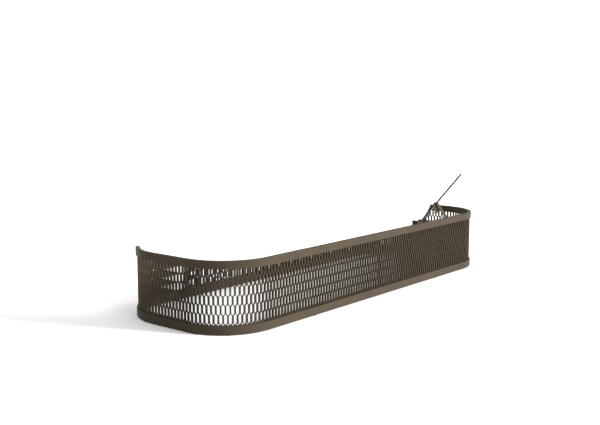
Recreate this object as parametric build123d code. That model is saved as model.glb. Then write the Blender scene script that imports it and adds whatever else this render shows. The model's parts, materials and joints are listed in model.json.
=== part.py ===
from build123d import *
import math
import os

# Low hearth screen: a rounded mesh wall between tubular rails, with a folding prop arm at its right end.
# Millimetres, +Z up. The origin is the middle of the plan, on the floor. +X runs along the length.
# -Y is the front, which faces the room. Wall pieces are placed by their offset from the rails' outer face.

os.makedirs("parts", exist_ok=True)

# Overall plan and heights
LENGTH = 1382.0
DEPTH = 457.0
HEIGHT = 200.0
CORNER_R = 161.0
PAD_T = 2.0

# Rails: rectangular tube bent to the plan
RAIL_DEPTH = 13.0
RAIL_WALL = 1.5
RAIL_EDGE_R = 1.4
TOP_RAIL_H = 22.0
BOTTOM_RAIL_H = 24.0
SLEEVE_LENGTH = 80.0
SLEEVE_GAP = 0.1
PLUG_T = 2.0
PLUG_SPIGOT = 12.0
LEFT_END_ANGLE = 45.0
RIGHT_END_Y = 6.0

# Swept edge of the back: one long arc on the left, one short arc on the right
BACK_H = 55.0
EDGE_RAIL_H = 10.0
EDGE_RAIL_OUT = 2.5
EDGE_RAIL_DEPTH = 9.0
LEFT_SWEEP_R = 1580.0
RIGHT_SWEEP_R = 242.4

# Expanded mesh
MESH_OUT = 4.2
MESH_T = 5.6
MESH_ROWS = 6
ZIGZAG_H = 8.0
STRAND_W = 4.8
DIAGONAL_W = 2.2
SELVEDGE = 1.0
FRONT_CELLS = 82
CORNER_CELLS = 19
END_CELLS = 10.5

# Posts, screws and feet
POST_W = 10.0
POST_T = 3.0
POST_X = 420.0
FRONT_POST_X = 10.0
SCREW_R = 2.0
SCREW_HEAD_R = 4.0
SCREW_HEAD_T = 2.2
SCREW_GRIP = 3.0
PAD_R = 5.0
PAD_X = 330.0

# Prop arm: hinge point and angles in the XZ plane at rest
HINGE_X = 243.0
HINGE_Z = 186.4
ARM_ANGLE = 27.6
ARM_LENGTH = 333.0
ARM_W = 4.0
ARM_H = 5.0
ARM_EYE_R = 6.0
ARM_BOSS_R = 3.2
TIP_LENGTH = 9.0
TIP_ROUND_R = 1.2
PIVOT_ALONG = 142.0
STRUT_ANGLE = 41.2
PEG_Z = 170.0
ARM_LOWERED = -27.6
ARM_RAISED = 12.4
STRUT_RATIO = 1.2

# Prop, guide and hinge details
STRUT_W = 11.0
STRUT_T = 3.0
STRUT_PIN_R = 1.5
WASHER_T = 0.7
BRACE_R = 2.0
BRACE_REACH = 37.0
FOOT_TUBE_R = 5.0
FOOT_TUBE_WALL = 1.0
FOOT_TUBE_END_Y = -78.0
PEG_R = 3.0
SLOT_GAP = 0.3
GUIDE_T = 3.0
GUIDE_STAND = 4.0
GUIDE_LOW = 156.0
GUIDE_HIGH = 198.0
GUIDE_MARGIN = 12.0
STRUT_CLEAR = 0.8
HOOK_PLATE_T = 2.0
BRACKET_T = 3.0
HINGE_PIN_R = 2.5
RUNNING_GAP = 0.05
PIN_FIT = 0.02

# Hardware
BRACKET_SCREWS = [(251.0, 181.6), (237.4, 195.2)]
BRACKET_LEFT = 14.0
BRACKET_RIGHT = 13.0
SMALL_SCREW_R = 1.5
SMALL_HEAD_R = 2.7
SMALL_SCREW_GRIP = 3.0
SUNK_HEAD_T = 1.6
SPACER_R = 4.0
HINGE_HEAD_R = 4.5
HINGE_HEAD_T = 2.4
HINGE_HEAD_ROUND_R = 1.2
BUSH_R = 4.5
STRUT_PIN_HEAD_R = 2.4
STRUT_PIN_HEAD_T = 1.6
STRUT_PIN_ROUND_R = 0.9
STRUT_WASHER_R = 3.0
BRACE_EYE_R = 3.2
BRACE_HEAD_ROOM_R = 3.4
STRUT_TRIM = 3.2
PEG_WASHER_R = 5.2
HOOK_RIVET_ALONG = 112.0
HOOK_RIVET_R = 1.2
HOOK_RIVET_HEAD_R = 1.9
HOOK_RIVET_HEAD_T = 0.5
TUBE_CAP_T = 4.0
TUBE_CAP_ROUND_R = 2.4
TUBE_CAP_SPIGOT = 10.0
PEG_SHOULDER = 12.0

# Worked out from the above
TOP_LOW = HEIGHT - TOP_RAIL_H
MESH_LOW = PAD_T + BOTTOM_RAIL_H
ROW_PITCH = (TOP_LOW - MESH_LOW) / MESH_ROWS
MESH_MID = MESH_OUT + MESH_T / 2
CENTRE_X = LENGTH / 2 - CORNER_R
CENTRE_Y = DEPTH / 2 - CORNER_R
MESH_R = CORNER_R - MESH_MID
RAIL_IN_Y = -(DEPTH / 2 - RAIL_DEPTH)
GUIDE_Y = RAIL_IN_Y + GUIDE_STAND
STRUT_Y = GUIDE_Y + GUIDE_T + STRUT_CLEAR
ARM_Y = STRUT_Y + STRUT_T + WASHER_T
HOOK_Y = ARM_Y + ARM_W
BRACE_Y = HOOK_Y + HOOK_PLATE_T + 0.4
PIVOT_X = HINGE_X + PIVOT_ALONG * math.cos(math.radians(ARM_ANGLE))
PIVOT_Z = HINGE_Z + PIVOT_ALONG * math.sin(math.radians(ARM_ANGLE))
TUBE_FIT_R = FOOT_TUBE_R - FOOT_TUBE_WALL - PIN_FIT
STRUT_LENGTH = (PIVOT_Z - PEG_Z) / math.sin(math.radians(STRUT_ANGLE))
PEG_X = PIVOT_X + STRUT_LENGTH * math.cos(math.radians(STRUT_ANGLE))


# ---- helpers -----------------------------------------------------------------------------------------

def block(low, high):
    """A box between two corners."""
    size = [h - l for l, h in zip(low, high)]
    return Pos(*low) * Box(*size, align=(Align.MIN, Align.MIN, Align.MIN))


def rod_y(x, z, y_low, y_high, radius):
    """A cylinder along Y."""
    return Pos(x, y_low, z) * Rot(-90, 0, 0) * Cylinder(
        radius, y_high - y_low, align=(Align.CENTER, Align.CENTER, Align.MIN)
    )


def rod_x(y, z, x_low, x_high, radius):
    """A cylinder along X."""
    return Pos(x_low, y, z) * Rot(0, 90, 0) * Cylinder(
        radius, x_high - x_low, align=(Align.CENTER, Align.CENTER, Align.MIN)
    )


def rod_between(start, end, radius):
    """A cylinder from one point to another."""
    line = Vector(*end) - Vector(*start)
    place = Plane(origin=start, z_dir=line)
    return place * Cylinder(radius, line.length, align=(Align.CENTER, Align.CENTER, Align.MIN))


def plate_xz(outline, y_low, thickness):
    """A flat plate with an outline given in X and Z, from y_low towards the back."""
    face = Plane(origin=(0, y_low, 0), x_dir=(1, 0, 0), z_dir=(0, -1, 0)) * outline
    return extrude(face, amount=-thickness)


def plan_prism(points, low, high):
    """An upright prism over a plan outline."""
    return Pos(0, 0, low) * extrude(make_face(Polyline(*points, close=True)), high - low)


def ring_band(outer, inner, low, high):
    """The wall's closed loop between two offsets from its outer face."""
    sizes = [(LENGTH - 2 * o, DEPTH - 2 * o, CORNER_R - o) for o in (outer, inner)]
    return Pos(0, 0, low) * extrude(
        RectangleRounded(*sizes[0]) - RectangleRounded(*sizes[1]), high - low
    )


def largest(shape):
    """The one solid that a cut is meant to leave."""
    return max(shape.solids(), key=lambda solid: solid.volume)


def drilled(shape, tools):
    """A single solid with tools cut out of it."""
    return largest(largest(shape).cut(*tools))


# ---- rails -------------------------------------------------------------------------------------------

def rail_tube(low, high):
    """A closed loop of rectangular tube with rounded edges."""
    skin = ring_band(0, RAIL_DEPTH, low, high)
    level = skin.edges().filter_by(lambda e: abs(e.bounding_box().size.Z) < 0.01)
    skin = fillet(level, RAIL_EDGE_R)
    return skin - ring_band(RAIL_WALL, RAIL_DEPTH - RAIL_WALL, low + RAIL_WALL, high - RAIL_WALL)


def half_plan(side):
    """The left (-1) or right (+1) half of the floor."""
    reach = LENGTH
    return [(0, -reach), (side * reach, -reach), (side * reach, reach), (0, reach)]


def top_rail_plan(side, extra=0.0):
    """The stretch of each half that the full-height rail covers; extra carries it past its end."""
    reach = LENGTH
    if side > 0:
        end = RIGHT_END_Y + extra
        return [(0, -reach), (reach, -reach), (reach, end), (0, end)]
    turn = math.radians(LEFT_END_ANGLE)
    shift = (extra * math.sin(turn), extra * math.cos(turn))
    start = (-CENTRE_X + shift[0], CENTRE_Y + shift[1])
    far = (start[0] - reach * math.cos(turn), start[1] + reach * math.sin(turn))
    return [(0, -reach), (0, start[1]), start, far, (-2 * reach, far[1]), (-2 * reach, -reach)]


def below_sweep(side, drop):
    """Everything under the back's swept edge, lowered by drop square to the curve."""
    far = 2 * LENGTH
    if side < 0:
        scoop = rod_y(0, BACK_H + LEFT_SWEEP_R, 0, far, LEFT_SWEEP_R + drop)
        solid = block((-LENGTH, 0, 0), (0, DEPTH, HEIGHT))
    else:
        scoop = rod_x(DEPTH / 2, BACK_H + RIGHT_SWEEP_R, 0, far, RIGHT_SWEEP_R + drop)
        solid = block((0, RIGHT_END_Y, 0), (LENGTH, DEPTH, HEIGHT))
    return solid - scoop


def top_rail(side):
    return rail_tube(TOP_LOW, HEIGHT) & plan_prism(top_rail_plan(side), 0, 2 * HEIGHT)


def bottom_rail(side):
    return rail_tube(PAD_T, MESH_LOW) & plan_prism(half_plan(side), 0, 2 * HEIGHT)


def rail_plug(side):
    """A plug in the open end of a top rail: a face plate and a spigot inside the tube."""
    past = plan_prism(top_rail_plan(side, PLUG_T), 0, 2 * HEIGHT)
    inside = plan_prism(top_rail_plan(side), 0, 2 * HEIGHT)
    short = plan_prism(top_rail_plan(side, -PLUG_SPIGOT), 0, 2 * HEIGHT)
    hollow = RAIL_WALL + SLEEVE_GAP
    plate = (ring_band(0.4, RAIL_DEPTH - 0.4, TOP_LOW + 0.4, HEIGHT - 0.4) & past) - inside
    spigot = ring_band(hollow, RAIL_DEPTH - hollow, TOP_LOW + hollow, HEIGHT - hollow) & past
    return largest(keep_half(plate + (spigot - short), side))


def keep_half(shape, side):
    """Only the part on one side of the middle, behind the front wall."""
    start = RIGHT_END_Y - 2 * PLUG_SPIGOT if side > 0 else 0
    low, high = sorted((0, side * LENGTH))
    return shape & block((low, start, 0), (high, DEPTH, 2 * HEIGHT))


def edge_rail(side):
    """The slim bar along the swept edge, from the plug round to the middle of the back."""
    band = ring_band(EDGE_RAIL_OUT, EDGE_RAIL_OUT + EDGE_RAIL_DEPTH, 0, HEIGHT)
    bar = (band & below_sweep(side, 0)) - below_sweep(side, EDGE_RAIL_H)
    bar = bar - plan_prism(top_rail_plan(side, PLUG_T), 0, 2 * HEIGHT)
    return largest(bar)


def sleeve(y_sign, low, high):
    """A solid bar inside two rail ends, bridging the joint in the middle."""
    hollow = RAIL_WALL + SLEEVE_GAP
    near = DEPTH / 2 - RAIL_DEPTH + hollow
    far = DEPTH / 2 - hollow
    ys = sorted((y_sign * near, y_sign * far))
    return block((-SLEEVE_LENGTH / 2, ys[0], low + hollow), (SLEEVE_LENGTH / 2, ys[1], high - hollow))


# ---- mesh --------------------------------------------------------------------------------------------

def cell_outline(pitch, row):
    """One opening of the mesh about s = 0: a tall hexagon, cut off where it meets a rail."""
    half = pitch / 2 - STRAND_W / 2
    slope = ZIGZAG_H / (pitch / 2)
    lift = DIAGONAL_W / 2 * math.hypot(1, slope)
    low = MESH_LOW + row * ROW_PITCH + lift
    high = MESH_LOW + (row + 1) * ROW_PITCH + ZIGZAG_H - lift
    shoulder = half * slope
    if row < 0:
        base = MESH_LOW + SELVEDGE
        reach = (high - base) / slope
        return [(-reach, base), (reach, base), (0, high)]
    foot = [(-half, low + shoulder), (0, low), (half, low + shoulder)]
    if row == MESH_ROWS - 1:
        return foot + [(half, TOP_LOW - SELVEDGE), (-half, TOP_LOW - SELVEDGE)]
    return foot + [(half, high - shoulder), (0, high), (-half, high - shoulder)]


def cell_places(first, count):
    """Row and position, in cells from the panel's start, of each opening that touches the panel."""
    places = []
    for row in range(-1, MESH_ROWS):
        start = math.floor(first) - 1 + (0.5 if row % 2 else 0.0)
        column = start
        while column <= first + count + 0.5:
            if first - 0.45 < column < first + count + 0.45:
                places.append((row, column - first))
            column += 1.0
    return places


def cell_prisms(pitch, first, count, height):
    """The openings of one panel as prisms along +Z, with their positions along the panel."""
    prisms = []
    for row, at in cell_places(first, count):
        if MESH_LOW + row * ROW_PITCH > height:
            continue
        outline = make_face(Polyline(*cell_outline(pitch, row), close=True))
        prisms.append((at * pitch, extrude(outline, MESH_T * 2, both=True)))
    return prisms


def flat_mesh(length, cells, first, height=TOP_LOW):
    """A flat panel in its own frame: s along X, height along Y, thickness about Z = 0."""
    pitch = length / cells
    outer = Wire.make_polygon([(0, MESH_LOW), (length, MESH_LOW), (length, height), (0, height)])
    inner = []
    cut = []
    for row, at in cell_places(first, cells):
        outline = [(at * pitch + s, z) for s, z in cell_outline(pitch, row)]
        low_s = min(s for s, z in outline)
        high_s = max(s for s, z in outline)
        high_z = max(z for s, z in outline)
        low_z = min(z for s, z in outline)
        if low_z >= height:
            continue
        wire = Wire.make_polygon(outline, close=True)
        if low_s > 0 and high_s < length and high_z < height:
            inner.append(wire)
        else:
            cut.append(extrude(Face(wire), MESH_T, both=True))
    plate = extrude(Face(outer, inner), MESH_T / 2, both=True)
    return largest(plate.cut(*cut))


def place_flat(panel, start, heading):
    """Stands a flat panel up from a plan point, running along a heading in degrees."""
    return Pos(start[0], start[1], 0) * Rot(0, 0, heading) * Rot(90, 0, 0) * panel


def corner_mesh(quadrant, first, height=TOP_LOW):
    """A quarter of the loop; quadrant 0 is back right, then back left, front left and front right."""
    pitch = MESH_R * math.pi / 2 / CORNER_CELLS
    outer = MESH_R + MESH_T / 2
    drum = Cylinder(outer, 2 * HEIGHT) - Cylinder(MESH_R - MESH_T / 2, 2 * HEIGHT)
    shell = largest(drum & block((0, 0, MESH_LOW), (outer, outer, height)))
    cutters = []
    for s, prism in cell_prisms(pitch, first, CORNER_CELLS, height):
        turn = math.degrees(s / MESH_R)
        stand = Rot(0, 0, turn) * Pos(MESH_R, 0, 0) * Rot(0, 0, 90) * Rot(90, 0, 0)
        cutters.append(stand * prism)
    shell = largest(shell.cut(*cutters))
    side_x = 1 if quadrant in (0, 3) else -1
    side_y = 1 if quadrant in (0, 1) else -1
    return Pos(side_x * CENTRE_X, side_y * CENTRE_Y, 0) * Rot(0, 0, 90 * quadrant) * shell


def sweep_mesh(panel, side):
    """Cuts a panel of the back down to the underside of its swept bar."""
    return largest(panel & (below_sweep(side, EDGE_RAIL_H) + below_front(side)))


def below_front(side):
    """The part of a half that stands under the full-height rail and keeps its whole mesh."""
    return plan_prism(top_rail_plan(side, PLUG_T), 0, TOP_LOW)


def mesh_panels():
    """Every panel, counting cells anticlockwise from the left end of the front wall."""
    front_y = DEPTH / 2 - MESH_MID
    end_x = LENGTH / 2 - MESH_MID
    half = FRONT_CELLS / 2
    end_length = 2 * CENTRE_Y
    plan = [
        ("mesh_front_left", half, (-CENTRE_X, -front_y), 0, CENTRE_X),
        ("mesh_front_right", half, (0, -front_y), 0, CENTRE_X),
        ("mesh_corner_front_right", None, 3, 0, 0),
        ("mesh_end_right", END_CELLS, (end_x, -CENTRE_Y), 90, end_length),
        ("mesh_corner_back_right", None, 0, 0, 0),
        ("mesh_back_right", half, (CENTRE_X, front_y), 180, CENTRE_X),
        ("mesh_back_left", half, (0, front_y), 180, CENTRE_X),
        ("mesh_corner_back_left", None, 1, 0, 0),
        ("mesh_end_left", END_CELLS, (-end_x, CENTRE_Y), 270, end_length),
        ("mesh_corner_front_left", None, 2, 0, 0),
    ]
    swept = {"mesh_end_right": 1, "mesh_corner_back_right": 1, "mesh_back_right": 1}
    swept.update({"mesh_back_left": -1, "mesh_corner_back_left": -1})
    panels = {}
    count = 0.0
    for name, cells, where, heading, length in plan:
        if cells is None:
            panel = corner_mesh(where, count)
            cells = CORNER_CELLS
        else:
            panel = place_flat(flat_mesh(length, cells, count), where, heading)
        panels[name] = sweep_mesh(panel, swept[name]) if name in swept else largest(panel)
        count += cells
    return panels


# ---- posts, screws and feet --------------------------------------------------------------------------

def sweep_height(x):
    """Height of the left sweep's upper line at x on the back wall."""
    return BACK_H + LEFT_SWEEP_R - math.sqrt(LEFT_SWEEP_R ** 2 - x ** 2)


def post_places():
    """Name, side of the wall, x and height of each post's top."""
    return [
        ("post_front_middle", -1, FRONT_POST_X, HEIGHT - 3.0),
        ("post_back_middle", 1, 0.0, BACK_H - 1.0),
        ("post_back_left", 1, -POST_X, sweep_height(POST_X - POST_W / 2) - 1.0),
        ("post_back_right", 1, POST_X, BACK_H - 1.0),
    ]


def post(wall, x, top):
    """A flat strap on the inner face of the rails."""
    inner = DEPTH / 2 - RAIL_DEPTH
    ys = sorted((wall * inner, wall * (inner - POST_T)))
    strap = block((x - POST_W / 2, ys[0], PAD_T + 2.0), (x + POST_W / 2, ys[1], top))
    upright = strap.edges().filter_by(Axis.Y)
    return fillet(upright, 3.0)


def post_screws():
    """Position and direction of each screw; heads are on the side of the hearth."""
    spots = []
    low = PAD_T + BOTTOM_RAIL_H / 2
    for name, wall, x, top in post_places():
        y = wall * (DEPTH / 2 - RAIL_DEPTH - POST_T)
        spots.append((x, y, low, wall))
        if wall < 0:
            spots.append((x, y, TOP_LOW + TOP_RAIL_H / 2 - 1.0, wall))
    return spots


def screw(x, y, z, wall, grip=POST_T + RAIL_WALL + SCREW_GRIP, radius=SCREW_R, head=SCREW_HEAD_R):
    """A domed screw driven outwards through the wall from the point under its head."""
    ends = sorted((y, y + wall * grip))
    shank = rod_y(x, z, ends[0], ends[1], radius)
    caps = sorted((y, y - wall * SCREW_HEAD_T))
    dome = rod_y(x, z, caps[0], caps[1], head)
    rim = dome.faces().sort_by(Axis.Y)[-1 if wall < 0 else 0].edges()
    return fillet(rim, SCREW_HEAD_T * 0.6) + shank


def screw_holes(spots, grip=POST_T + RAIL_WALL + SCREW_GRIP, radius=SCREW_R):
    """The clearance for a group of screws."""
    holes = []
    for x, y, z, wall in spots:
        ends = sorted((y - wall, y + wall * (grip + 0.5)))
        holes.append(rod_y(x, z, ends[0], ends[1], radius + RUNNING_GAP))
    return holes


def foot_pads():
    """Round pads under the bottom rail."""
    middle = RAIL_DEPTH / 2
    spots = [(sx * PAD_X, sy * (DEPTH / 2 - middle)) for sx in (-1, 1) for sy in (-1, 1)]
    reach = (CORNER_R - middle) * math.cos(math.radians(45))
    spots += [(sx * (CENTRE_X + reach), sy * (CENTRE_Y + reach)) for sx in (-1, 1) for sy in (-1, 1)]
    pad = Cylinder(PAD_R, PAD_T, align=(Align.CENTER, Align.CENTER, Align.MIN))
    return [Pos(x, y, 0) * pad for x, y in spots]


# ---- hinge and guide ---------------------------------------------------------------------------------

def hinge_bracket():
    """A folded strap: an ear on the rail, a web that stands up behind the eye, and an inner ear."""
    left = HINGE_X - BRACKET_LEFT
    right = HINGE_X + BRACKET_RIGHT
    low = TOP_LOW - 2.0
    inner = BRACE_Y + 3.0
    web_top = HEIGHT + 9.0
    ear_top = HEIGHT + 4.5
    ears = [
        block((left, RAIL_IN_Y, low), (right, RAIL_IN_Y + BRACKET_T, ear_top)),
        block((left, inner - BRACKET_T, low), (right, inner, ear_top)),
    ]
    rounded = [fillet(ear.edges().filter_by(Axis.Y).group_by(Axis.X)[-1], 4.0) for ear in ears]
    web = block((left, RAIL_IN_Y, low), (left + BRACKET_T, inner, web_top))
    body = rounded[0] + rounded[1] + web
    body = body - rod_y(HINGE_X, HINGE_Z, RAIL_IN_Y - 1, inner + 1, HINGE_PIN_R + RUNNING_GAP)
    grip = BRACKET_T + RAIL_WALL + SMALL_SCREW_GRIP
    return drilled(body, screw_holes(bracket_screw_spots(), grip, SMALL_SCREW_R))


def bracket_screw_spots():
    return [(x, RAIL_IN_Y + BRACKET_T, z, -1) for x, z in BRACKET_SCREWS]


def hinge_pin():
    """A headed pin through both ears and the arm's eye."""
    inner = BRACE_Y + 3.0
    shank = rod_y(HINGE_X, HINGE_Z, RAIL_IN_Y + 0.1, inner, HINGE_PIN_R)
    head = rod_y(HINGE_X, HINGE_Z, inner, inner + HINGE_HEAD_T, HINGE_HEAD_R)
    return shank + fillet(head.faces().sort_by(Axis.Y)[-1].edges(), HINGE_HEAD_ROUND_R)


def hinge_bush(y_low, y_high):
    tube = rod_y(HINGE_X, HINGE_Z, y_low, y_high, BUSH_R)
    return tube - rod_y(HINGE_X, HINGE_Z, y_low - 1, y_high + 1, HINGE_PIN_R + RUNNING_GAP)


def peg_path(steps=16):
    """Where the peg stands as the arm goes from lowered to raised: the centre line of the guide's slot."""
    points = []
    for step in range(steps + 1):
        lift = ARM_LOWERED + (ARM_RAISED - ARM_LOWERED) * step / steps
        arm = math.radians(ARM_ANGLE + lift)
        strut = math.radians(STRUT_ANGLE + STRUT_RATIO * lift)
        x = HINGE_X + PIVOT_ALONG * math.cos(arm) + STRUT_LENGTH * math.cos(strut)
        z = HINGE_Z + PIVOT_ALONG * math.sin(arm) - STRUT_LENGTH * math.sin(strut)
        points.append((x, z))
    return points


def guide_slot():
    """The slot as solids: a band along the peg's path and a round end at each limit."""
    path = peg_path()
    reach = PEG_R + SLOT_GAP
    sides = {1: [], -1: []}
    for index, (x, z) in enumerate(path):
        before = path[max(index - 1, 0)]
        after = path[min(index + 1, len(path) - 1)]
        run = math.dist(before, after)
        normal = (-(after[1] - before[1]) / run, (after[0] - before[0]) / run)
        for side in sides:
            sides[side].append((x + side * reach * normal[0], z + side * reach * normal[1]))
    edges = [Spline(*sides[1]), Line(sides[1][-1], sides[-1][-1])]
    edges += [Spline(*reversed(sides[-1])), Line(sides[-1][0], sides[1][0])]
    band = plate_xz(make_face(edges), GUIDE_Y - 1, GUIDE_T + 2)
    ends = [rod_y(x, z, GUIDE_Y - 1, GUIDE_Y + GUIDE_T + 1, reach) for x, z in (path[0], path[-1])]
    return [band, *ends]


def guide_screw_spots():
    """Two screws above the slot, sunk flush so that the strut passes over them."""
    xs = sorted(x for x, z in peg_path())
    z = TOP_LOW + TOP_RAIL_H / 2
    return [(xs[0] - 2.0, GUIDE_Y + GUIDE_T, z, -1), (xs[-1] + 2.0, GUIDE_Y + GUIDE_T, z, -1)]


def guide_plate():
    """The slotted plate that the peg runs in."""
    xs = sorted(x for x, z in peg_path())
    low = (xs[0] - GUIDE_MARGIN, GUIDE_Y, GUIDE_LOW)
    high = (xs[-1] + GUIDE_MARGIN, GUIDE_Y + GUIDE_T, GUIDE_HIGH)
    plate = block(low, high)
    plate = fillet(plate.edges().filter_by(Axis.Y), 6.0)
    grip = GUIDE_T + GUIDE_STAND + RAIL_WALL + SMALL_SCREW_GRIP
    holes = screw_holes(guide_screw_spots(), grip, SMALL_SCREW_R)
    return drilled(plate, [*guide_slot(), *holes, *sunk_heads(RUNNING_GAP)])


def sunk_heads(gap=0.0):
    """The cone of each sunk screw, or the recess for it."""
    cones = []
    for x, y, z, wall in guide_screw_spots():
        stand = (Align.CENTER, Align.CENTER, Align.MIN)
        cone = Cone(SMALL_SCREW_R + gap, SMALL_HEAD_R + gap, SUNK_HEAD_T, align=stand)
        cones.append(Pos(x, y - SUNK_HEAD_T, z) * Rot(-90, 0, 0) * cone)
    return cones


def guide_screws():
    grip = GUIDE_T + GUIDE_STAND + RAIL_WALL + SMALL_SCREW_GRIP
    screws = []
    for cone, (x, y, z, wall) in zip(sunk_heads(), guide_screw_spots()):
        screws.append(cone + rod_y(x, z, y - grip, y - 1.0, SMALL_SCREW_R))
    return screws


def guide_spacers():
    spacers = []
    for x, y, z, wall in guide_screw_spots():
        tube = rod_y(x, z, RAIL_IN_Y, GUIDE_Y, SPACER_R)
        spacers.append(tube - rod_y(x, z, RAIL_IN_Y - 1, GUIDE_Y + 1, SMALL_SCREW_R + RUNNING_GAP))
    return spacers


# ---- arm ---------------------------------------------------------------------------------------------

def along_arm(distance, lift=0.0):
    """A point in XZ along the arm from its hinge, lifted square to it."""
    turn = math.radians(ARM_ANGLE)
    x = HINGE_X + distance * math.cos(turn) - lift * math.sin(turn)
    z = HINGE_Z + distance * math.sin(turn) + lift * math.cos(turn)
    return x, z


def arm_bar():
    """The thin flat bar with an eye at its root and a boss where the strut is pinned."""
    half = ARM_H / 2
    end = ARM_LENGTH - TIP_LENGTH
    corners = [along_arm(0, -half), along_arm(end, -half), along_arm(end, half), along_arm(0, half)]
    bar = plate_xz(make_face(Polyline(*corners, close=True)), ARM_Y, ARM_W)
    eye = rod_y(HINGE_X, HINGE_Z, ARM_Y, ARM_Y + ARM_W, ARM_EYE_R)
    boss = rod_y(PIVOT_X, PIVOT_Z, ARM_Y, ARM_Y + ARM_W, ARM_BOSS_R)
    holes = [
        rod_y(HINGE_X, HINGE_Z, ARM_Y - 1, ARM_Y + ARM_W + 1, HINGE_PIN_R + RUNNING_GAP),
        rod_y(PIVOT_X, PIVOT_Z, ARM_Y - 1, ARM_Y + ARM_W + 1, STRUT_PIN_R + RUNNING_GAP),
        hook_rivet(RUNNING_GAP),
    ]
    return drilled(bar + eye + boss, holes)


def arm_tip():
    """A rounded cap pushed against the bar's end."""
    half = ARM_H / 2
    corners = [
        along_arm(ARM_LENGTH - TIP_LENGTH, -half),
        along_arm(ARM_LENGTH, -half),
        along_arm(ARM_LENGTH, half),
        along_arm(ARM_LENGTH - TIP_LENGTH, half),
    ]
    cap = plate_xz(make_face(Polyline(*corners, close=True)), ARM_Y, ARM_W)
    tip = along_arm(ARM_LENGTH)
    near = cap.edges().sort_by_distance((tip[0], ARM_Y + ARM_W / 2, tip[1]))[:4]
    return fillet(near, TIP_ROUND_R)


def hook_rivet(gap=0.0):
    x, z = along_arm(HOOK_RIVET_ALONG)
    return rod_y(x, z, ARM_Y - 1.0, HOOK_Y + HOOK_PLATE_T, HOOK_RIVET_R + gap)


def hook_rivet_solid():
    """A small rivet, with a flat head on the strut's side, that holds the hook plate on the bar."""
    x, z = along_arm(HOOK_RIVET_ALONG)
    head = rod_y(x, z, ARM_Y - HOOK_RIVET_HEAD_T, ARM_Y, HOOK_RIVET_HEAD_R)
    return head + rod_y(x, z, ARM_Y, HOOK_Y + HOOK_PLATE_T, HOOK_RIVET_R)


def hook_plate():
    """A flat plate beside the bar, level along its underside, with a short hook hanging by the pivot."""
    start = along_arm(103.0)
    level = start[1] - 1.0
    hook_left = PIVOT_X - 3.0
    hook_right = PIVOT_X + 5.0
    hook_low = PIVOT_Z - 37.0
    right_top = along_arm(PIVOT_ALONG + 7.0, 1.5)
    points = [
        start,
        (hook_left, level),
        (hook_left, hook_low),
        (hook_right, hook_low),
        (hook_right, PIVOT_Z - 4.0),
        right_top,
        along_arm(103.0, 1.5),
    ]
    plate = plate_xz(make_face(Polyline(*points, close=True)), HOOK_Y, HOOK_PLATE_T)
    low_edges = plate.edges().filter_by(Axis.Y).sort_by(Axis.Z)[:2]
    plate = fillet(low_edges, 2.5)
    pin = rod_y(PIVOT_X, PIVOT_Z, HOOK_Y - 1, HOOK_Y + HOOK_PLATE_T + 1, STRUT_PIN_R + RUNNING_GAP)
    return drilled(plate, [pin, hook_rivet(RUNNING_GAP)])


# ---- prop --------------------------------------------------------------------------------------------

def strut():
    """The flat bar from the arm's pivot down to the guide, its top trimmed level with the arm's boss."""
    turn = math.radians(STRUT_ANGLE)
    half = STRUT_W / 2
    side = (half * math.sin(turn), half * math.cos(turn))
    corners = [
        (PIVOT_X + side[0], PIVOT_Z + side[1]),
        (PEG_X + side[0], PEG_Z + side[1]),
        (PEG_X - side[0], PEG_Z - side[1]),
        (PIVOT_X - side[0], PIVOT_Z - side[1]),
    ]
    bar = plate_xz(make_face(Polyline(*corners, close=True)), STRUT_Y, STRUT_T)
    ends = [rod_y(x, z, STRUT_Y, STRUT_Y + STRUT_T, half) for x, z in ((PIVOT_X, PIVOT_Z), (PEG_X, PEG_Z))]
    holes = [
        rod_y(PIVOT_X, PIVOT_Z, STRUT_Y - 1, STRUT_Y + STRUT_T + 1, STRUT_PIN_R + PIN_FIT),
        rod_y(PEG_X, PEG_Z, STRUT_Y - 1, STRUT_Y + STRUT_T + 1, PEG_R + PIN_FIT),
    ]
    above = [
        along_arm(PIVOT_ALONG - STRUT_W, STRUT_TRIM),
        along_arm(PIVOT_ALONG + STRUT_W, STRUT_TRIM),
        along_arm(PIVOT_ALONG + STRUT_W, STRUT_W),
        along_arm(PIVOT_ALONG - STRUT_W, STRUT_W),
    ]
    trim = plate_xz(make_face(Polyline(*above, close=True)), STRUT_Y - 1, STRUT_T + 2)
    return drilled(bar + ends[0] + ends[1], [*holes, trim])


def strut_pin():
    """The pin through strut, bar, hook plate and brace, headed at both ends."""
    far = BRACE_Y + 2 * BRACE_R
    shank = rod_y(PIVOT_X, PIVOT_Z, STRUT_Y, far, STRUT_PIN_R)
    outer = rod_y(PIVOT_X, PIVOT_Z, STRUT_Y - STRUT_PIN_HEAD_T, STRUT_Y, STRUT_PIN_HEAD_R)
    inner = rod_y(PIVOT_X, PIVOT_Z, far, far + STRUT_PIN_HEAD_T, STRUT_PIN_HEAD_R)
    outer = fillet(outer.faces().sort_by(Axis.Y)[0].edges(), STRUT_PIN_ROUND_R)
    inner = fillet(inner.faces().sort_by(Axis.Y)[-1].edges(), STRUT_PIN_ROUND_R)
    return shank + outer + inner


def strut_washer():
    ring = rod_y(PIVOT_X, PIVOT_Z, STRUT_Y + STRUT_T, ARM_Y - 0.1, STRUT_WASHER_R)
    return ring - rod_y(PIVOT_X, PIVOT_Z, STRUT_Y, ARM_Y + 1, STRUT_PIN_R + PIN_FIT)


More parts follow.
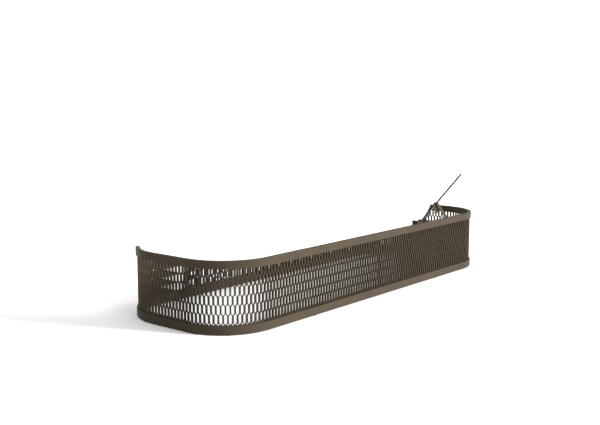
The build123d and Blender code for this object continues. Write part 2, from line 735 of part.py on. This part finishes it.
def brace():
    """A round rod from an eye on the pin down and inwards to the foot tube."""
    middle = BRACE_Y + BRACE_R
    eye = rod_y(PIVOT_X, PIVOT_Z, BRACE_Y, BRACE_Y + 2 * BRACE_R, BRACE_EYE_R)
    rod = rod_between((PIVOT_X, middle, PIVOT_Z), (PEG_X, STRUT_Y + BRACE_REACH, PEG_Z), BRACE_R)
    rod = rod - block((PIVOT_X - 20, BRACE_Y - 20, 0), (PEG_X + 20, BRACE_Y, 2 * HEIGHT))
    cuts = [
        rod_y(PIVOT_X, PIVOT_Z, BRACE_Y - 1, BRACE_Y + 2 * BRACE_R + 4, STRUT_PIN_R + PIN_FIT),
        rod_y(PEG_X, PEG_Z, STRUT_Y, FOOT_TUBE_END_Y, FOOT_TUBE_R),
        rod_y(PIVOT_X, PIVOT_Z, BRACE_Y + 2 * BRACE_R, BRACE_Y + 12, BRACE_HEAD_ROOM_R),
    ]
    return drilled(eye + rod, cuts)


def foot_tube():
    start = STRUT_Y + STRUT_T
    tube = rod_y(PEG_X, PEG_Z, start, FOOT_TUBE_END_Y, FOOT_TUBE_R)
    return tube - rod_y(PEG_X, PEG_Z, start - 1, FOOT_TUBE_END_Y + 1, FOOT_TUBE_R - FOOT_TUBE_WALL)


def foot_tube_cap():
    """A domed plug in the tube's inner end."""
    head = rod_y(PEG_X, PEG_Z, FOOT_TUBE_END_Y, FOOT_TUBE_END_Y + TUBE_CAP_T, FOOT_TUBE_R)
    head = fillet(head.faces().sort_by(Axis.Y)[-1].edges(), TUBE_CAP_ROUND_R)
    spigot = rod_y(PEG_X, PEG_Z, FOOT_TUBE_END_Y - TUBE_CAP_SPIGOT, FOOT_TUBE_END_Y, TUBE_FIT_R)
    return head + spigot


def guide_peg():
    """The peg that runs in the slot, with a shoulder inside the foot tube."""
    strut_in = STRUT_Y + STRUT_T
    peg = rod_y(PEG_X, PEG_Z, GUIDE_Y - 1.9, strut_in, PEG_R)
    return peg + rod_y(PEG_X, PEG_Z, strut_in, strut_in + PEG_SHOULDER, TUBE_FIT_R)


def peg_washer():
    """The ring behind the guide plate that keeps the peg in its slot."""
    ring = rod_y(PEG_X, PEG_Z, GUIDE_Y - 1.3, GUIDE_Y - 0.4, PEG_WASHER_R)
    return ring - rod_y(PEG_X, PEG_Z, GUIDE_Y - 3, GUIDE_Y, PEG_R + PIN_FIT)


# ---- assembly ----------------------------------------------------------------------------------------

def frame_nodes():
    """The standing screen."""
    posts = screw_holes(post_screws())
    small = screw_holes(bracket_screw_spots(), BRACKET_T + RAIL_WALL + SMALL_SCREW_GRIP, SMALL_SCREW_R)
    small += screw_holes(guide_screw_spots(), GUIDE_T + GUIDE_STAND + RAIL_WALL + 3, SMALL_SCREW_R)
    nodes = {
        "bottom_rail_left": drilled(bottom_rail(-1), posts),
        "bottom_rail_right": drilled(bottom_rail(1), posts),
        "top_rail_left": drilled(top_rail(-1), posts),
        "top_rail_right": drilled(top_rail(1), posts + small),
        "edge_rail_left": edge_rail(-1),
        "edge_rail_right": edge_rail(1),
        "rail_plug_left": rail_plug(-1),
        "rail_plug_right": rail_plug(1),
        "sleeve_bottom_front": drilled(sleeve(-1, PAD_T, MESH_LOW), posts),
        "sleeve_bottom_back": drilled(sleeve(1, PAD_T, MESH_LOW), posts),
        "sleeve_top_front": drilled(sleeve(-1, TOP_LOW, HEIGHT), posts),
        "post_screws": Compound([screw(*spot) for spot in post_screws()]),
        "foot_pads": Compound(foot_pads()),
    }
    for name, wall, x, top in post_places():
        nodes[name] = drilled(post(wall, x, top), posts)
    nodes.update(mesh_panels())
    return nodes


def hinge_nodes():
    """What the frame holds for the arm."""
    grip = BRACKET_T + RAIL_WALL + SMALL_SCREW_GRIP
    spots = bracket_screw_spots()
    return {
        "hinge_bracket": hinge_bracket(),
        "hinge_pin": hinge_pin(),
        "hinge_bush_outer": hinge_bush(RAIL_IN_Y + BRACKET_T, ARM_Y - 0.2),
        "hinge_bush_inner": hinge_bush(ARM_Y + ARM_W + 0.2, BRACE_Y),
        "bracket_screws": Compound([screw(*s, grip, SMALL_SCREW_R, SMALL_HEAD_R) for s in spots]),
        "guide_plate": guide_plate(),
        "guide_spacers": Compound(guide_spacers()),
        "guide_screws": Compound(guide_screws()),
    }


def moving_nodes():
    """The arm and the prop that holds it up."""
    return {
        "arm_bar": arm_bar(),
        "arm_tip": arm_tip(),
        "hook_plate": hook_plate(),
        "hook_rivet": hook_rivet_solid(),
        "strut": strut(),
        "strut_pin": strut_pin(),
        "strut_washer": strut_washer(),
        "brace": brace(),
        "foot_tube": foot_tube(),
        "foot_tube_cap": foot_tube_cap(),
        "guide_peg": guide_peg(),
        "peg_washer": peg_washer(),
    }


nodes = {**frame_nodes(), **hinge_nodes(), **moving_nodes()}
for node, shape in nodes.items():
    export_step(shape, f"parts/{node}.step")
print(len(nodes), "nodes; peg at", round(PEG_X, 2), "pivot at", round(PIVOT_X, 2), round(PIVOT_Z, 2))
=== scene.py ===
"""Looks for the hearth screen: expanded mesh, powder coat, hardware finishes, light and camera.

Metres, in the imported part's own frame. The screen stands on Z = 0, +X runs along its length and -Y is
its front.
"""

import json
import math

import bmesh
import bpy
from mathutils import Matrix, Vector


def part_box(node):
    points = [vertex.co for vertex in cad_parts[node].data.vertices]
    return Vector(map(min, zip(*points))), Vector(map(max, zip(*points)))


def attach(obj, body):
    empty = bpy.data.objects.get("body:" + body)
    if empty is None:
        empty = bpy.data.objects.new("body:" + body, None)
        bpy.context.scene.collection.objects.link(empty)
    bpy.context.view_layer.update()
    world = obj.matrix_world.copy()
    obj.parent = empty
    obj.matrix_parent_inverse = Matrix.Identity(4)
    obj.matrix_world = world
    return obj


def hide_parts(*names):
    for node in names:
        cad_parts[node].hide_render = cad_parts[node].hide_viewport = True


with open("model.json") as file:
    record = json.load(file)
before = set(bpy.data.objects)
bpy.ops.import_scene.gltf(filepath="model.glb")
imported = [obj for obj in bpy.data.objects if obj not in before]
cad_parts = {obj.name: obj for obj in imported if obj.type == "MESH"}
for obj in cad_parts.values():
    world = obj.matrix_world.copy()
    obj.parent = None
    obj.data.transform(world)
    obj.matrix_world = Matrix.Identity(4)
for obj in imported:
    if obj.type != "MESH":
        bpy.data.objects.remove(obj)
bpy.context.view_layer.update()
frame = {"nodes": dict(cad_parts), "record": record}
nodes = frame["nodes"]

# The wall's plan and heights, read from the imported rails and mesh
RAIL_LOW, RAIL_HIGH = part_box("bottom_rail_left")
HALF_DEPTH = -RAIL_LOW.y
MESH_LOW = RAIL_HIGH.z
MESH_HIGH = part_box("top_rail_left")[0].z
FRONT_LOW, FRONT_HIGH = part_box("mesh_front_left")
STRAIGHT_X = -FRONT_LOW.x
MESH_T = FRONT_HIGH.y - FRONT_LOW.y
MESH_OUT = HALF_DEPTH + FRONT_LOW.y
MESH_MID = MESH_OUT + MESH_T / 2
STRAIGHT_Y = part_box("mesh_end_left")[1].y
MESH_R = HALF_DEPTH - MESH_MID - STRAIGHT_Y

# Openings in the mesh: rows, and how many fill each stretch of the wall
ROWS = 6
FRONT_CELLS = 82
CORNER_CELLS = 19
END_CELLS = 10.5

# How far a row's points reach into the next row
ZIGZAG = 0.008

# Widths of the upright and the slanting strands, and the chamfer on their edges
STRAND = 0.0048
DIAGONAL = 0.0022
EDGE = 0.00022

# How far the mesh goes into a rail
TUCK = 0.0006

# Points closer than WELD are one. SPREAD is the length given to one opening while the strip lies flat
WELD = 0.00001
SPREAD = 0.0129

# Swept edge of the back: the bar's height, its lowest top, its two radii and where it begins at each side
EDGE_RAIL = 0.010
BACK_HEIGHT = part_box("edge_rail_left")[0].z + EDGE_RAIL
LEFT_SWEEP_R = 1.580
RIGHT_SWEEP_R = 0.2424
LEFT_SWEEP_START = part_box("edge_rail_left")[0].x
RIGHT_SWEEP_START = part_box("edge_rail_right")[0].y

# Finishes: one brown coat in three depths, bronzed hardware, plastic and rubber. The rails and arm take the
# two lighter depths. The mesh takes the two darker ones, a painted shade for the shadow between its strands
COAT_LIGHT = (0.044, 0.034, 0.0235)
COAT_MIDDLE = (0.038, 0.029, 0.0198)
COAT_PAINTED_SHADE = (0.032, 0.0243, 0.0165)
COAT_SPECULAR = 0.03
BRONZE = (0.16, 0.135, 0.11)
PLASTIC = (0.03, 0.026, 0.022)
RUBBER = (0.015, 0.015, 0.015)

# Camera: left of the front and a little above the screen
CAMERA_PLACE = (-2.296, -1.777, 0.648)
CAMERA_HEADING = math.radians(39.29)
CAMERA_PITCH = math.radians(-7.95)
CAMERA_LENS = 53.77
CAMERA_SENSOR = 36.0

# Stage: a pale floor, a white sky and one broad sun from the front right
FLOOR_REACH = 400.0
FLOOR_TONE = 0.9
FLOOR_ROUGHNESS = 0.9
SKY_STRENGTH = 1.03
SUN_FROM = (0.55, -1.0, 0.3)
SUN_STRENGTH = 9.8
SUN_SPREAD = math.radians(14)


# ---- camera ------------------------------------------------------------------------------------------

def add_camera():
    data = bpy.data.cameras.new("camera")
    data.lens = CAMERA_LENS
    data.sensor_width = CAMERA_SENSOR
    camera = bpy.data.objects.new("camera", data)
    camera.location = CAMERA_PLACE
    look = Vector((
        math.cos(CAMERA_HEADING) * math.cos(CAMERA_PITCH),
        math.sin(CAMERA_HEADING) * math.cos(CAMERA_PITCH),
        math.sin(CAMERA_PITCH),
    ))
    camera.rotation_euler = look.to_track_quat("-Z", "Y").to_euler()
    bpy.context.scene.collection.objects.link(camera)
    bpy.context.scene.camera = camera


# ---- material helpers --------------------------------------------------------------------------------

def new_material(name):
    material = bpy.data.materials.new(name)
    material.use_nodes = True
    return material, material.node_tree, material.node_tree.nodes["Principled BSDF"]


def add_node(tree, kind, **values):
    node = tree.nodes.new(kind)
    for key, value in values.items():
        if key in node.inputs:
            node.inputs[key].default_value = value
        else:
            setattr(node, key, value)
    return node


def add_texture(tree, kind, **values):
    """A texture laid in the object's own coordinates."""
    texture = add_node(tree, kind, **values)
    place = add_node(tree, "ShaderNodeTexCoord")
    tree.links.new(place.outputs["Object"], texture.inputs["Vector"])
    return texture


def remap(tree, source, low=0.0, high=1.0, out_low=0.0, out_high=1.0):
    """Carries a socket's values from one range to another, and returns the new socket."""
    node = add_node(tree, "ShaderNodeMapRange")
    node.inputs["From Min"].default_value = low
    node.inputs["From Max"].default_value = high
    node.inputs["To Min"].default_value = out_low
    node.inputs["To Max"].default_value = out_high
    tree.links.new(source, node.inputs["Value"])
    return node.outputs["Result"]


def two_tone(tree, source, dark, light, start=0.0, end=1.0):
    """Blends two colours by a socket's values, and returns the colour socket."""
    tone = add_node(tree, "ShaderNodeValToRGB")
    first, last = tone.color_ramp.elements
    first.position = start
    first.color = (*dark, 1)
    last.position = end
    last.color = (*light, 1)
    tree.links.new(source, tone.inputs["Fac"])
    return tone.outputs["Color"]


def scaled(tree, colour, factor):
    """A colour socket times a number socket."""
    node = add_node(tree, "ShaderNodeVectorMath", operation="SCALE")
    tree.links.new(colour, node.inputs[0])
    tree.links.new(factor, node.inputs["Scale"])
    return node.outputs["Vector"]


def shade(colour, factor):
    return [min(1, channel * factor) for channel in colour]


def add_bump(tree, shader, source, strength, distance):
    """Fine relief in the shading, from a socket's values."""
    bump = add_node(tree, "ShaderNodeBump", Strength=strength, Distance=distance)
    tree.links.new(source, bump.inputs["Height"])
    tree.links.new(bump.outputs["Normal"], shader.inputs["Normal"])


def edge_wear_and_highlight(tree, radius, colour, lift):
    """Lightens a colour along the edges in a broken line, partly rubbed wear and partly a painted
    highlight, and returns the new colour socket.
    """
    eased = add_node(tree, "ShaderNodeBevel", samples=4, Radius=radius)
    face = add_node(tree, "ShaderNodeNewGeometry")
    meet = add_node(tree, "ShaderNodeVectorMath", operation="DOT_PRODUCT")
    tree.links.new(eased.outputs["Normal"], meet.inputs[0])
    tree.links.new(face.outputs["True Normal"], meet.inputs[1])
    edge = remap(tree, meet.outputs["Value"], low=0.995, high=0.85)
    # Noise that breaks the lightened line, both the wear and the painted highlight
    rub = add_texture(tree, "ShaderNodeTexNoise", Scale=55.0, Detail=5.0, Roughness=0.65)
    broken = remap(tree, rub.outputs["Fac"], low=0.38, high=0.62, out_low=0.35)
    both = add_node(tree, "ShaderNodeMath", operation="MULTIPLY")
    tree.links.new(edge, both.inputs[0])
    tree.links.new(broken, both.inputs[1])
    gain = add_node(tree, "ShaderNodeMath", operation="MULTIPLY_ADD")
    gain.inputs[1].default_value = lift
    gain.inputs[2].default_value = 1.0
    tree.links.new(both.outputs["Value"], gain.inputs[0])
    return scaled(tree, colour, gain.outputs["Value"])


def paint(obj, material):
    obj.data.materials.clear()
    obj.data.materials.append(material)


# ---- materials ---------------------------------------------------------------------------------------

def powder_coat(name, light, dark, roughness=0.42, edge=0.0012):
    """Satin powder coat: cloudy tone, fine flecks, orange peel, a slight spread of gloss, rubbed edges with
    a painted highlight along them.
    """
    material, tree, shader = new_material(name)
    cloud = add_texture(tree, "ShaderNodeTexNoise", Scale=9.0, Detail=4.0, Roughness=0.6)
    peel = add_texture(tree, "ShaderNodeTexNoise", Scale=900.0, Detail=2.0, Roughness=0.5)
    fleck = add_texture(tree, "ShaderNodeTexNoise", Scale=2600.0, Detail=1.0, Roughness=0.4)
    tone = two_tone(tree, cloud.outputs["Fac"], dark, light, start=0.3, end=0.7)
    speck = remap(tree, fleck.outputs["Fac"], low=0.35, high=0.65, out_low=0.93, out_high=1.06)
    colour = edge_wear_and_highlight(tree, edge, scaled(tree, tone, speck), lift=0.3)
    tree.links.new(colour, shader.inputs["Base Color"])
    gloss = remap(tree, cloud.outputs["Fac"], out_low=roughness - 0.06, out_high=roughness + 0.08)
    tree.links.new(gloss, shader.inputs["Roughness"])
    add_bump(tree, shader, peel.outputs["Fac"], strength=0.05, distance=0.0004)
    shader.inputs["Specular IOR Level"].default_value = COAT_SPECULAR
    return material


def plated_steel(name, colour):
    """Bronzed zinc plate on small hardware: cloudy tone, finely broken polish and rubbed edges with a
    painted highlight along them.
    """
    material, tree, shader = new_material(name)
    polish = add_texture(tree, "ShaderNodeTexNoise", Scale=1400.0, Detail=3.0)
    cloud = add_texture(tree, "ShaderNodeTexNoise", Scale=120.0, Detail=3.0)
    tone = two_tone(tree, cloud.outputs["Fac"], shade(colour, 0.8), shade(colour, 1.2))
    tree.links.new(edge_wear_and_highlight(tree, 0.0005, tone, lift=0.6), shader.inputs["Base Color"])
    gloss = remap(tree, polish.outputs["Fac"], out_low=0.25, out_high=0.45)
    tree.links.new(gloss, shader.inputs["Roughness"])
    shader.inputs["Metallic"].default_value = 0.9
    return material


def moulded(name, colour, roughness, scale):
    """Matte moulded plastic or rubber: cloudy tone, a fine pebbled grain and rubbed edges with a painted
    highlight along them.
    """
    material, tree, shader = new_material(name)
    grain = add_texture(tree, "ShaderNodeTexVoronoi", Scale=scale)
    cloud = add_texture(tree, "ShaderNodeTexNoise", Scale=scale / 12, Detail=3.0)
    tone = two_tone(tree, cloud.outputs["Fac"], shade(colour, 0.85), shade(colour, 1.15))
    tree.links.new(edge_wear_and_highlight(tree, 0.0005, tone, lift=0.5), shader.inputs["Base Color"])
    add_bump(tree, shader, grain.outputs["Distance"], strength=0.15, distance=0.0003)
    shader.inputs["Roughness"].default_value = roughness
    return material


# ---- expanded mesh -----------------------------------------------------------------------------------

def wall_segments():
    """The wall's loop, anticlockwise from the left end of the front: straights and bends in turn.

    A straight is its openings, length, first point and heading. A bend has its centre and first angle
    in place of the last two.
    """
    bend = MESH_R * math.pi / 2
    out_x = STRAIGHT_X + MESH_R
    out_y = STRAIGHT_Y + MESH_R
    return [
        (FRONT_CELLS, 2 * STRAIGHT_X, (-STRAIGHT_X, -out_y), 0),
        (CORNER_CELLS, bend, (STRAIGHT_X, -STRAIGHT_Y), 270),
        (END_CELLS, 2 * STRAIGHT_Y, (out_x, -STRAIGHT_Y), 90),
        (CORNER_CELLS, bend, (STRAIGHT_X, STRAIGHT_Y), 0),
        (FRONT_CELLS, 2 * STRAIGHT_X, (STRAIGHT_X, out_y), 180),
        (CORNER_CELLS, bend, (-STRAIGHT_X, STRAIGHT_Y), 90),
        (END_CELLS, 2 * STRAIGHT_Y, (-out_x, STRAIGHT_Y), 270),
        (CORNER_CELLS, bend, (-STRAIGHT_X, -STRAIGHT_Y), 180),
    ]


SEGMENTS = wall_segments()
LOOP_CELLS = sum(segment[0] for segment in SEGMENTS)


def wall_point(column, out):
    """The plan point at a cell count round the loop, moved outwards from the middle of the mesh."""
    column = column % LOOP_CELLS
    for index, (cells, length, start, heading) in enumerate(SEGMENTS):
        if column <= cells or index == len(SEGMENTS) - 1:
            break
        column -= cells
    share = column / cells
    if index % 2:
        angle = math.radians(heading + 90 * share)
        reach = MESH_R + out
        return start[0] + reach * math.cos(angle), start[1] + reach * math.sin(angle)
    run = math.radians(heading)
    along = length * share
    x = start[0] + along * math.cos(run) + out * math.sin(run)
    y = start[1] + along * math.sin(run) - out * math.cos(run)
    return x, y


def wall_top(column):
    """How high the mesh reaches at a cell count: into the rail, or to the middle of the swept bar."""
    x, y = wall_point(column, 0)
    full = MESH_HIGH + TUCK
    # The half of a left bend that is next to the left end
    corner_left = x < -STRAIGHT_X and (y - STRAIGHT_Y) < -(x + STRAIGHT_X)
    if y < RIGHT_SWEEP_START or (x < 0 and (x < LEFT_SWEEP_START or corner_left)):
        return full
    if x < 0:
        edge = BACK_HEIGHT + LEFT_SWEEP_R - math.sqrt(LEFT_SWEEP_R ** 2 - x * x)
    else:
        drop = min(HALF_DEPTH - y, RIGHT_SWEEP_R)
        edge = BACK_HEIGHT + RIGHT_SWEEP_R - math.sqrt(RIGHT_SWEEP_R ** 2 - drop * drop)
    return min(full, edge - EDGE_RAIL / 2)


def cell_ring(share):
    """A cell's hexagon in (cells, metres), inset by a share of the strands' half widths."""
    pitch = 2 * STRAIGHT_X / FRONT_CELLS
    slope = ZIGZAG / (pitch / 2)
    half = pitch / 2 - share * STRAND / 2
    lift = share * DIAGONAL / 2 * math.hypot(1, slope)
    row = (MESH_HIGH - MESH_LOW) / ROWS
    top = row + ZIGZAG - lift
    shoulder = half * slope
    points = [
        (0, lift),
        (half, lift + shoulder),
        (half, top - shoulder),
        (0, top),
        (-half, top - shoulder),
        (-half, lift + shoulder),
    ]
    return [(s / pitch, z) for s, z in points]


def add_cell(build, column, base, profile):
    """One opening: six rings of points from the front of the web, through the hole, to its back."""
    rings = []
    for share, out in profile:
        places = [((column + s) * SPREAD, out, base + z) for s, z in cell_ring(share)]
        rings.append([build.verts.new(place) for place in places])
    for outer, inner in zip(rings, rings[1:]):
        for i in range(6):
            j = (i + 1) % 6
            build.faces.new((outer[i], outer[j], inner[j], inner[i]))


def cut_flat(build, height, side):
    """Cuts the strip at a height and drops what is above it (side 1) or below it (side -1)."""
    bmesh.ops.bisect_plane(
        build,
        geom=build.verts[:] + build.edges[:] + build.faces[:],
        dist=WELD / 4,
        plane_co=(0, 0, height),
        plane_no=(0, 0, side),
        clear_outer=True,
    )


def mesh_wall():
    """The strip of expanded mesh: built flat, cut to the rails and the swept bar, then bent to the plan."""
    flat = MESH_T / 2
    shoulder = 1 - 2 * EDGE / DIAGONAL
    profile = [
        (0.0, flat),
        (shoulder, flat),
        (1.0, flat - EDGE),
        (1.0, EDGE - flat),
        (shoulder, -flat),
        (0.0, -flat),
    ]
    row_height = (MESH_HIGH - MESH_LOW) / ROWS
    build = bmesh.new()
    for row in range(-1, ROWS + 1):
        for count in range(int(LOOP_CELLS)):
            add_cell(build, count + (0.5 if row % 2 else 0.0), MESH_LOW + row * row_height, profile)
    bmesh.ops.remove_doubles(build, verts=build.verts, dist=WELD)
    # Shearing the strip by its top line turns every cut into one flat plane
    for vert in build.verts:
        vert.co.z -= wall_top(vert.co.x / SPREAD)
    cut_flat(build, 0.0, 1)
    for vert in build.verts:
        vert.co.z += wall_top(vert.co.x / SPREAD)
    cut_flat(build, MESH_LOW - TUCK, -1)
    for vert in build.verts:
        x, y = wall_point(vert.co.x / SPREAD, vert.co.y)
        vert.co = (x, y, vert.co.z)
    bmesh.ops.remove_doubles(build, verts=build.verts, dist=WELD)
    bmesh.ops.dissolve_degenerate(build, edges=build.edges, dist=WELD)
    bmesh.ops.holes_fill(build, edges=[edge for edge in build.edges if edge.is_boundary], sides=0)
    bmesh.ops.recalc_face_normals(build, faces=build.faces)
    data = bpy.data.meshes.new("expanded_mesh")
    build.to_mesh(data)
    build.free()
    piece = bpy.data.objects.new("expanded_mesh", data)
    bpy.context.scene.collection.objects.link(piece)
    return piece


# ---- stage -------------------------------------------------------------------------------------------

def add_floor():
    data = bpy.data.meshes.new("floor")
    reach = FLOOR_REACH
    corners = [(-reach, -reach, 0), (reach, -reach, 0), (reach, reach, 0), (-reach, reach, 0)]
    data.from_pydata(corners, [], [(0, 1, 2, 3)])
    floor = bpy.data.objects.new("floor", data)
    bpy.context.scene.collection.objects.link(floor)
    material, _, shader = new_material("pale_floor")
    shader.inputs["Base Color"].default_value = (FLOOR_TONE, FLOOR_TONE, FLOOR_TONE, 1)
    shader.inputs["Roughness"].default_value = FLOOR_ROUGHNESS
    shader.inputs["Specular IOR Level"].default_value = 0.0
    paint(floor, material)


def add_light():
    world = bpy.data.worlds.new("studio")
    world.use_nodes = True
    sky = world.node_tree.nodes["Background"]
    sky.inputs["Color"].default_value = (1, 1, 1, 1)
    sky.inputs["Strength"].default_value = SKY_STRENGTH
    bpy.context.scene.world = world
    bpy.context.scene.view_settings.view_transform = "Standard"
    data = bpy.data.lights.new("key", "SUN")
    data.energy = SUN_STRENGTH
    data.angle = SUN_SPREAD
    light = bpy.data.objects.new("key", data)
    light.rotation_euler = Vector(SUN_FROM).to_track_quat("Z", "Y").to_euler()
    bpy.context.scene.collection.objects.link(light)


# ---- assembly ----------------------------------------------------------------------------------------

def dress_nodes():
    """A finish for every CAD node that stays visible, chosen by its slot in the record."""
    finishes = {
        "rail_coat": powder_coat("rail_coat", COAT_LIGHT, COAT_MIDDLE),
        "arm_coat": powder_coat("arm_coat", COAT_LIGHT, COAT_MIDDLE, roughness=0.38),
        "steel_hardware": plated_steel("steel_hardware", BRONZE),
        "dark_plastic": moulded("dark_plastic", PLASTIC, roughness=0.6, scale=900.0),
        "rubber_pad": moulded("rubber_pad", RUBBER, roughness=0.8, scale=700.0),
    }
    slots = {part["node"]: part["material_slot"] for part in frame["record"]["subparts"]}
    for name, obj in nodes.items():
        if slots[name] in finishes:
            paint(obj, finishes[slots[name]])


add_camera()
dress_nodes()
wall = mesh_wall()
# The mesh wears the same coat in a darker copy: painted shade standing in for the shadow between its
# strands
paint(wall, powder_coat("mesh_coat", COAT_MIDDLE, COAT_PAINTED_SHADE, roughness=0.45, edge=0.0005))
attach(wall, "screen")
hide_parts(*[name for name in nodes if name.startswith("mesh_")])
add_floor()
add_light()
